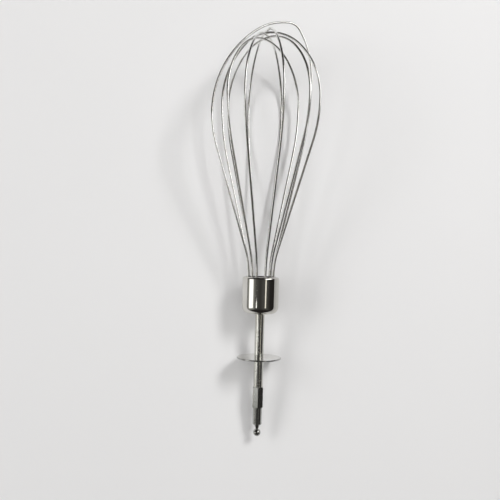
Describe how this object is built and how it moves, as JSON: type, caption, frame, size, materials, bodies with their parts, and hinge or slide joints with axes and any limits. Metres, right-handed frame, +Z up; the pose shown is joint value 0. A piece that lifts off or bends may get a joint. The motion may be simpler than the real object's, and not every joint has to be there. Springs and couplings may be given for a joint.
{
  "type": "immersion blender whisk attachment",
  "caption": "Balloon whisk attachment for a hand blender: bent steel wire loops in a ferrule, on a shaft with a stop disc, a drive section and a ball tip. One loop is bent.",
  "frame": {"origin": "on the table under the middle of the part's box, with the whisk lying at rest", "axes": "+Z up from the table, +Y along the whisk from its ball tip to the crown of the balloon, +X to the right seen from above"},
  "size_m": [0.0552, 0.2132, 0.0549],
  "materials": {
    "turned_steel": "turned and polished stainless steel",
    "polished_steel": "polished stainless steel",
    "wire_steel": "bright drawn stainless steel wire",
    "holder_plastic": "dark moulded plastic"
  },
  "bodies": {
    "root": {"drive_shaft": "turned_steel", "stop_disc": "polished_steel", "ferrule": "polished_steel", "wire_holder": "holder_plastic", "wire_loop_1": "wire_steel", "wire_loop_2": "wire_steel", "wire_loop_3": "wire_steel", "wire_loop_4": "wire_steel", "wire_loop_5": "wire_steel", "wire_loop_6": "wire_steel"}
  },
  "joints": []
}
